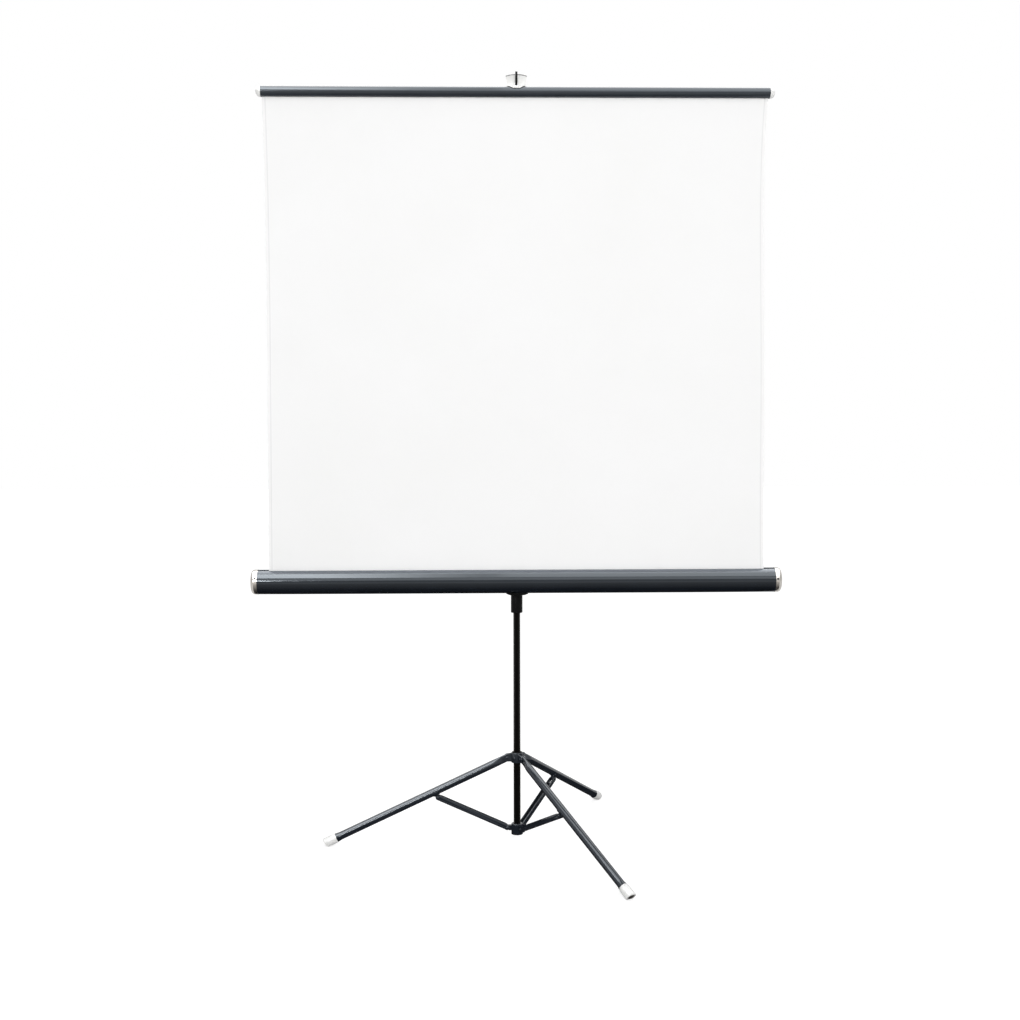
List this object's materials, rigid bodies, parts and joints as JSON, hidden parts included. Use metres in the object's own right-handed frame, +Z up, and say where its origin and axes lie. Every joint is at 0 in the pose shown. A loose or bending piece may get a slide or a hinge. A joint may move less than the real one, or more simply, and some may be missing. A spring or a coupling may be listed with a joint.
{
  "type": "tripod projection screen",
  "caption": "Free-standing pull-up projection screen: white fabric drawn from a spring-roller case up to a hooked telescopic rod, carried by a round post on folding braced tripod legs.",
  "frame": {"origin": "on the floor under the centre post, which is also the middle of the overall box", "axes": "+Z up along the post, +X along the case towards the viewer's right, -Y towards the viewer of the white fabric"},
  "size_m": [1.606, 1.0524, 2.3495],
  "materials": {
    "grey_paint": "gloss",
    "black_gloss": "gloss",
    "black_plastic": "satin",
    "chrome": "mirror polish",
    "zinc": "zinc plated",
    "white_plastic": "gloss",
    "white_fabric": "matte",
    "bare_steel": "plain drawn"
  },
  "bodies": {
    "post_frame": {"centre_post": "black_gloss", "post_end_plug": "black_plastic", "lower_collar": "grey_paint", "lower_collar_screw": "zinc", "rod_clamp": "black_plastic"},
    "hub_ring": {"leg_hub": "grey_paint", "hub_bush": "black_plastic", "leg_rivet_left": "grey_paint", "leg_rivet_front": "grey_paint", "leg_rivet_back": "grey_paint"},
    "left_leg": {"leg_left": "grey_paint", "foot_left": "white_plastic", "brace_lug_left": "grey_paint"},
    "front_leg": {"leg_front": "grey_paint", "foot_front": "white_plastic", "brace_lug_front": "grey_paint"},
    "back_leg": {"leg_back": "grey_paint", "foot_back": "white_plastic", "brace_lug_back": "grey_paint"},
    "left_brace": {"brace_left": "grey_paint", "brace_rivet_left": "grey_paint", "brace_end_pin_left": "grey_paint"},
    "front_brace": {"brace_front": "grey_paint", "brace_rivet_front": "grey_paint", "brace_end_pin_front": "grey_paint"},
    "back_brace": {"brace_back": "grey_paint", "brace_rivet_back": "grey_paint", "brace_end_pin_back": "grey_paint"},
    "collar_clamp": {"height_collar": "black_plastic"},
    "carriage": {"case_bracket": "black_plastic", "bracket_screw_left": "zinc", "bracket_screw_right": "zinc", "case_shell": "grey_paint", "case_cap_left": "chrome", "case_cap_right": "chrome", "cap_screw_left": "zinc", "cap_screw_right": "zinc", "roller_bracket_left": "bare_steel", "roller_bracket_right": "bare_steel", "spring_arbor": "bare_steel", "torsion_spring": "bare_steel", "screen_fabric": "white_fabric"},
    "roller": {"roller_tube": "bare_steel", "roller_plug_left": "black_plastic", "roller_plug_right": "black_plastic", "gudgeon_pin": "bare_steel", "wound_fabric": "white_fabric"},
    "rod_and_slat": {"extension_rod": "zinc", "rod_slider": "black_plastic", "hook": "black_plastic", "slat_tube": "grey_paint", "hem_rod": "bare_steel", "slat_cap_left": "white_plastic", "slat_cap_right": "white_plastic", "hanger_plate": "white_plastic", "hanger_rivet": "zinc"},
    "height_knob": {"height_lock_knob": "black_plastic"},
    "rod_knob": {"rod_lock_knob": "black_plastic"},
    "hub_screw": {"hub_lock_screw": "grey_paint"}
  },
  "joints": [
    {"name": "hub_slide", "type": "slide", "parent": "post_frame", "child": "hub_ring", "axis": [0, 0, 1], "range_m": [0, 0.26536]},
    {"name": "left_leg_fold", "type": "hinge", "parent": "hub_ring", "child": "left_leg", "pos_m": [-0.03, 0, 0.274], "axis": [0, -1, 0], "range_deg": [0, 59.95]},
    {"name": "front_leg_fold", "type": "hinge", "parent": "hub_ring", "child": "front_leg", "pos_m": [0.015, -0.02598, 0.274], "axis": [0.866, 0.5, 0], "range_deg": [0, 59.95]},
    {"name": "back_leg_fold", "type": "hinge", "parent": "hub_ring", "child": "back_leg", "pos_m": [0.015, 0.02598, 0.274], "axis": [-0.866, 0.5, 0], "range_deg": [0, 59.95]},
    {"name": "left_brace_fold", "type": "hinge", "parent": "left_leg", "child": "left_brace", "pos_m": [-0.24598, 0, 0.1504], "axis": [0, -1, 0], "range_deg": [-125.6, 0]},
    {"name": "front_brace_fold", "type": "hinge", "parent": "front_leg", "child": "front_brace", "pos_m": [0.12299, -0.21303, 0.1504], "axis": [0.866, 0.5, 0], "range_deg": [-125.6, 0]},
    {"name": "back_brace_fold", "type": "hinge", "parent": "back_leg", "child": "back_brace", "pos_m": [0.12299, 0.21303, 0.1504], "axis": [-0.866, 0.5, 0], "range_deg": [-125.6, 0]},
    {"name": "height_slide", "type": "slide", "parent": "post_frame", "child": "collar_clamp", "axis": [0, 0, 1], "range_m": [-0.08, 0.1]},
    {"name": "case_swivel", "type": "hinge", "parent": "collar_clamp", "child": "carriage", "pos_m": [0, 0, 0.8], "axis": [0, 0, 1], "continuous": true},
    {"name": "rod_slide", "type": "slide", "parent": "carriage", "child": "rod_and_slat", "axis": [0, 0, 1], "range_m": [-0.88, 0], "deforming": ["screen_fabric"]},
    {"name": "roller_turn", "type": "hinge", "parent": "carriage", "child": "roller", "pos_m": [0, -0.0519, 0.831], "axis": [1, 0, 0], "range_deg": [0, 2730]},
    {"name": "height_knob_turn", "type": "hinge", "parent": "collar_clamp", "child": "height_knob", "pos_m": [0, 0.0183, 0.752], "axis": [0, 1, 0], "range_deg": [0, 360]},
    {"name": "rod_knob_turn", "type": "hinge", "parent": "post_frame", "child": "rod_knob", "pos_m": [0, 0.0183, 1.25], "axis": [0, 1, 0], "range_deg": [0, 360]},
    {"name": "hub_screw_turn", "type": "hinge", "parent": "hub_ring", "child": "hub_screw", "pos_m": [-0.00915, -0.01585, 0.273], "axis": [-0.5, -0.866, 0], "range_deg": [0, 360]}
  ],
  "couplings": [
    {"joint": "left_leg_fold", "follows": "hub_slide", "rad_per_m": 3.9427},
    {"joint": "front_leg_fold", "follows": "hub_slide", "rad_per_m": 3.9427},
    {"joint": "back_leg_fold", "follows": "hub_slide", "rad_per_m": 3.9427},
    {"joint": "left_brace_fold", "follows": "hub_slide", "rad_per_m": -8.2611},
    {"joint": "front_brace_fold", "follows": "hub_slide", "rad_per_m": -8.2611},
    {"joint": "back_brace_fold", "follows": "hub_slide", "rad_per_m": -8.2611},
    {"joint": "roller_turn", "follows": "rod_slide", "rad_per_m": -54}
  ]
}
